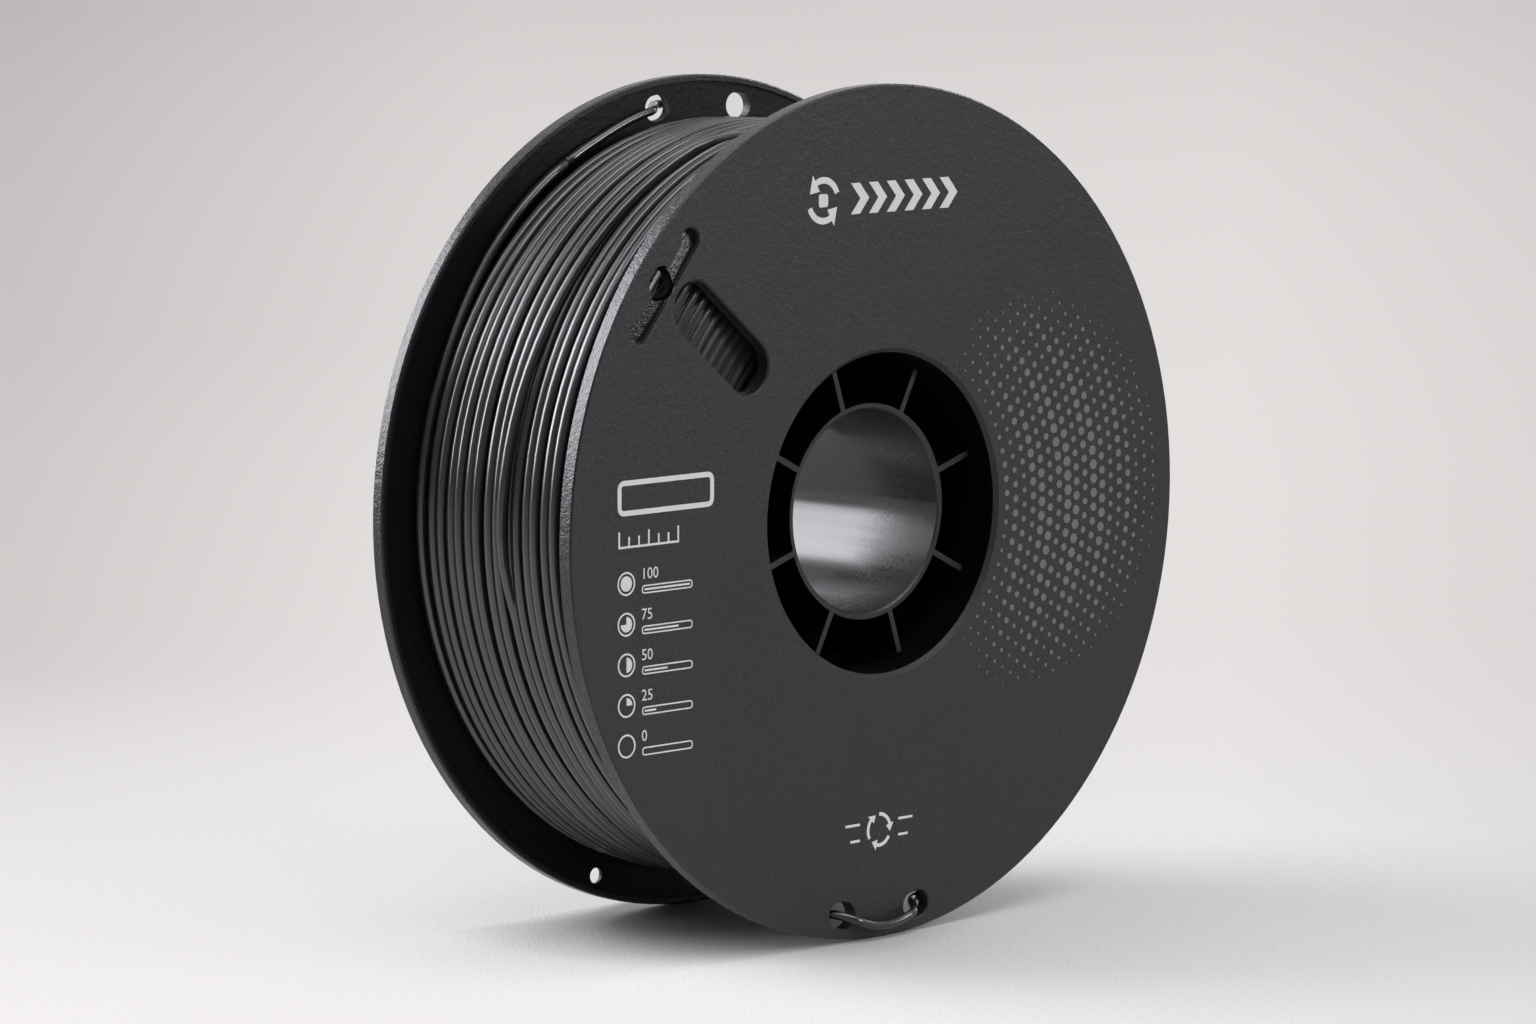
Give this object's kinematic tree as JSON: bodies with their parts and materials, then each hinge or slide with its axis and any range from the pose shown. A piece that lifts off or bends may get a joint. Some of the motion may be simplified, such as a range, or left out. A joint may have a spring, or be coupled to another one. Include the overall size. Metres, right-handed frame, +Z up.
{
  "type": "filament spool",
  "caption": "Reusable filament spool with halves that twist together around a wound refill, a round bore, ribbed hub, sight window, filament clip and tie holes.",
  "frame": {"origin": "on the bore's axis, midway between the outer faces of the two flanges", "axes": "+Y along the bore from the front half to the rear half, +Z up with the spool standing on its rims, +X to the right as seen from the front"},
  "size_m": [0.2, 0.0732, 0.2],
  "materials": {
    "shell_plastic": "fine moulded grain, charcoal black",
    "hub_plastic": "fine moulded grain, polished inside the bore",
    "core_board": "bare wound board",
    "tag_film": "white label film",
    "filament": "satin dark grey"
  },
  "bodies": {
    "rear": {"rear_half": "hub_plastic", "refill_core": "core_board", "id_tag_front": "tag_film", "id_tag_rear": "tag_film", "filament_inner_layers": "filament", "filament_outer_layer": "filament", "filament_end_rear": "filament"},
    "front": {"front_half": "shell_plastic", "filament_end_front": "filament"}
  },
  "joints": [
    {"name": "twist_lock", "type": "hinge", "parent": "rear", "child": "front", "pos_m": [0, 0, 0], "axis": [0, 1, 0], "range_deg": [-25, 0]}
  ]
}
